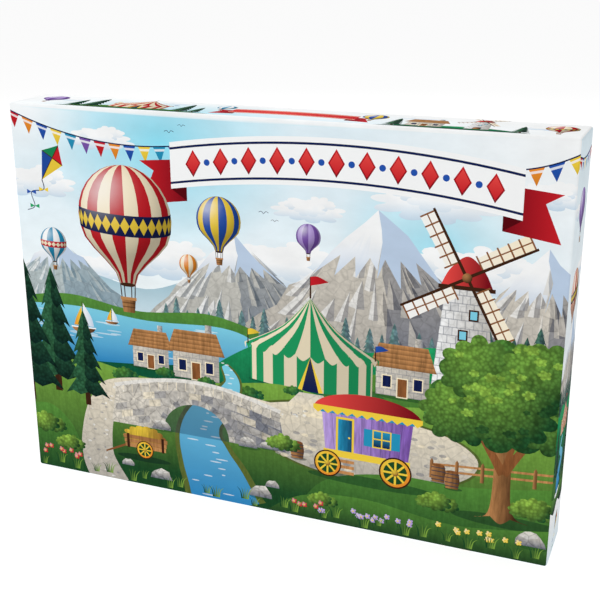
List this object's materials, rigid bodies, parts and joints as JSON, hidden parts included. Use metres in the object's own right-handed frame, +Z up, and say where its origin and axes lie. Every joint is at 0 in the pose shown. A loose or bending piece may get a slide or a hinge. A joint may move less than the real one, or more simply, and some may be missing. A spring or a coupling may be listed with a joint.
{
  "type": "lidded cardboard toy box",
  "caption": "Flat wide toy box of wrapped board, a full-depth printed lid pushed over a plain base tray, standing on its long side.",
  "frame": {"origin": "on the floor, under the middle of the closed box as it stands on its long side", "axes": "+X along the box's width to the right of its printed front, +Y from the front to the back, +Z up"},
  "size_m": [0.5, 0.06, 0.358],
  "materials": {
    "printed_board": "board wrapped in coated paper with a glossy colour print",
    "plain_board": "board wrapped in plain white coated paper"
  },
  "bodies": {
    "base_tray": {"base_tray": "plain_board"},
    "lid": {"lid": "printed_board"}
  },
  "joints": [
    {"name": "lid_lift", "type": "slide", "parent": "base_tray", "child": "lid", "axis": [0, -1, 0], "range_m": [0, 0.08]}
  ]
}
